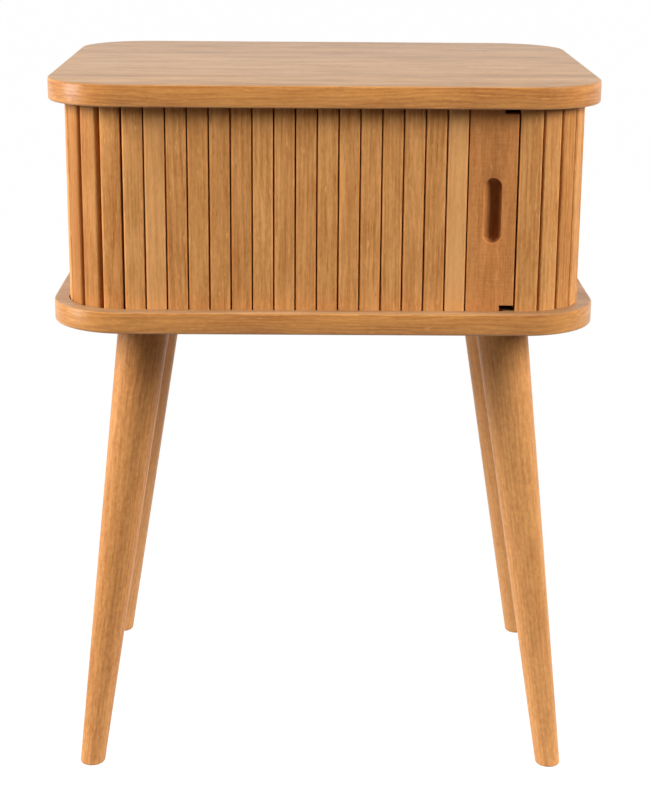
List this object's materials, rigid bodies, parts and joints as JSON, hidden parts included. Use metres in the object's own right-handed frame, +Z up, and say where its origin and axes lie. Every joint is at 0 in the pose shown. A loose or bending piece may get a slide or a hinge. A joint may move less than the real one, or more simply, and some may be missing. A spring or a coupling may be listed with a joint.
{
  "type": "bedside table with tambour door",
  "caption": "Bedside table: slatted cabinet with rounded corners between two boards, a tambour door that slides left, and four splayed tapered legs.",
  "frame": {"origin": "on the floor under the middle of the boards", "axes": "+Z up, the front with the door faces -Y, +X to the right of someone facing the front"},
  "size_m": [0.45, 0.3616, 0.5985],
  "materials": {
    "top_wood": "fine straight grain, satin oil",
    "board_wood": "satin oil",
    "slat_wood": "upright grain, satin oil",
    "lead_wood": "upright grain, satin oil",
    "leg_wood": "grain along the leg, satin oil",
    "panel_wood": "matt",
    "canvas": "dark woven backing",
    "steel": "zinc plated",
    "brass": "plain"
  },
  "bodies": {
    "cabinet": {"top_board": "top_wood", "bottom_board": "board_wood", "back_panel": "panel_wood", "liner": "panel_wood", "fixed_backing": "panel_wood", "fixed_slats": "slat_wood", "leg_front_left": "leg_wood", "leg_front_right": "leg_wood", "leg_rear_left": "leg_wood", "leg_rear_right": "leg_wood", "leg_bolts": "steel", "leg_inserts": "brass"},
    "door_lead": {"lead_slat": "lead_wood", "canvas_lead": "canvas"},
    "slat_01": {"slat_01": "slat_wood", "canvas_01": "canvas"},
    "slat_02": {"slat_02": "slat_wood", "canvas_02": "canvas"},
    "slat_03": {"slat_03": "slat_wood", "canvas_03": "canvas"},
    "slat_04": {"slat_04": "slat_wood", "canvas_04": "canvas"},
    "curtain": {"slat_05": "slat_wood", "slat_06": "slat_wood", "slat_07": "slat_wood", "slat_08": "slat_wood", "slat_09": "slat_wood", "slat_10": "slat_wood", "slat_11": "slat_wood", "slat_12": "slat_wood", "slat_13": "slat_wood", "slat_14": "slat_wood", "slat_15": "slat_wood", "slat_16": "slat_wood", "slat_17": "slat_wood", "slat_18": "slat_wood", "slat_19": "slat_wood", "slat_20": "slat_wood", "slat_21": "slat_wood", "slat_22": "slat_wood", "slat_23": "slat_wood", "slat_24": "slat_wood", "slat_25": "slat_wood", "slat_26": "slat_wood", "slat_27": "slat_wood", "slat_28": "slat_wood", "slat_29": "slat_wood", "slat_30": "slat_wood", "slat_31": "slat_wood", "slat_32": "slat_wood", "canvas_curtain": "canvas"},
    "slat_33": {"slat_33": "slat_wood", "canvas_33": "canvas"},
    "slat_34": {"slat_34": "slat_wood", "canvas_34": "canvas"},
    "slat_35": {"slat_35": "slat_wood", "canvas_35": "canvas"},
    "slat_36": {"slat_36": "slat_wood", "canvas_36": "canvas"}
  },
  "joints": [
    {"name": "door_slide", "type": "slide", "parent": "cabinet", "child": "door_lead", "axis": [-1, 0, 0], "range_m": [0, 0.2768], "deforming": ["slat_01", "canvas_01", "slat_02", "canvas_02", "slat_03", "canvas_03", "slat_04", "canvas_04", "slat_05", "slat_06", "slat_07", "slat_08", "slat_09", "slat_10", "slat_11", "slat_12", "slat_13", "slat_14", "slat_15", "slat_16", "slat_17", "slat_18", "slat_19", "slat_20", "slat_21", "slat_22", "slat_23", "slat_24", "slat_25", "slat_26", "slat_27", "slat_28", "slat_29", "slat_30", "slat_31", "slat_32", "canvas_curtain", "slat_33", "canvas_33", "slat_34", "canvas_34", "slat_35", "canvas_35", "slat_36", "canvas_36"]},
    {"name": "head_fold_1", "type": "hinge", "parent": "door_lead", "child": "slat_01", "pos_m": [0.11505, -0.16189, 0.498], "axis": [0, 0, -1], "range_deg": [0, 11.25]},
    {"name": "head_fold_2", "type": "hinge", "parent": "slat_01", "child": "slat_02", "pos_m": [0.09775, -0.16189, 0.498], "axis": [0, 0, -1], "range_deg": [0, 22.5]},
    {"name": "head_fold_3", "type": "hinge", "parent": "slat_02", "child": "slat_03", "pos_m": [0.08045, -0.16189, 0.498], "axis": [0, 0, -1], "range_deg": [0, 22.5]},
    {"name": "head_fold_4", "type": "hinge", "parent": "slat_03", "child": "slat_04", "pos_m": [0.06315, -0.16189, 0.498], "axis": [0, 0, -1], "range_deg": [0, 22.5]},
    {"name": "curtain_turn", "type": "hinge", "parent": "door_lead", "child": "curtain", "pos_m": [0.08045, -0.15215, 0.498], "axis": [0, 0, -1], "range_deg": [0, 90]},
    {"name": "tail_fold_1", "type": "hinge", "parent": "curtain", "child": "slat_33", "pos_m": [-0.20609, 0.09005, 0.498], "axis": [0, 0, 1], "range_deg": [0, 11.25]},
    {"name": "tail_fold_2", "type": "hinge", "parent": "slat_33", "child": "slat_34", "pos_m": [-0.20271, 0.10702, 0.498], "axis": [0, 0, 1], "range_deg": [0, 22.5]},
    {"name": "tail_fold_3", "type": "hinge", "parent": "slat_34", "child": "slat_35", "pos_m": [-0.1931, 0.1214, 0.498], "axis": [0, 0, 1], "range_deg": [0, 22.5]},
    {"name": "tail_fold_4", "type": "hinge", "parent": "slat_35", "child": "slat_36", "pos_m": [-0.17872, 0.13101, 0.498], "axis": [0, 0, 1], "range_deg": [0, 22.5]}
  ],
  "couplings": [
    {"joint": "head_fold_1", "follows": "door_slide", "rad_per_m": 0.70935},
    {"joint": "head_fold_2", "follows": "door_slide", "rad_per_m": 1.4187},
    {"joint": "head_fold_3", "follows": "door_slide", "rad_per_m": 1.4187},
    {"joint": "head_fold_4", "follows": "door_slide", "rad_per_m": 1.4187},
    {"joint": "curtain_turn", "follows": "door_slide", "rad_per_m": 5.6748},
    {"joint": "tail_fold_1", "follows": "door_slide", "rad_per_m": 0.70935},
    {"joint": "tail_fold_2", "follows": "door_slide", "rad_per_m": 1.4187},
    {"joint": "tail_fold_3", "follows": "door_slide", "rad_per_m": 1.4187},
    {"joint": "tail_fold_4", "follows": "door_slide", "rad_per_m": 1.4187}
  ]
}
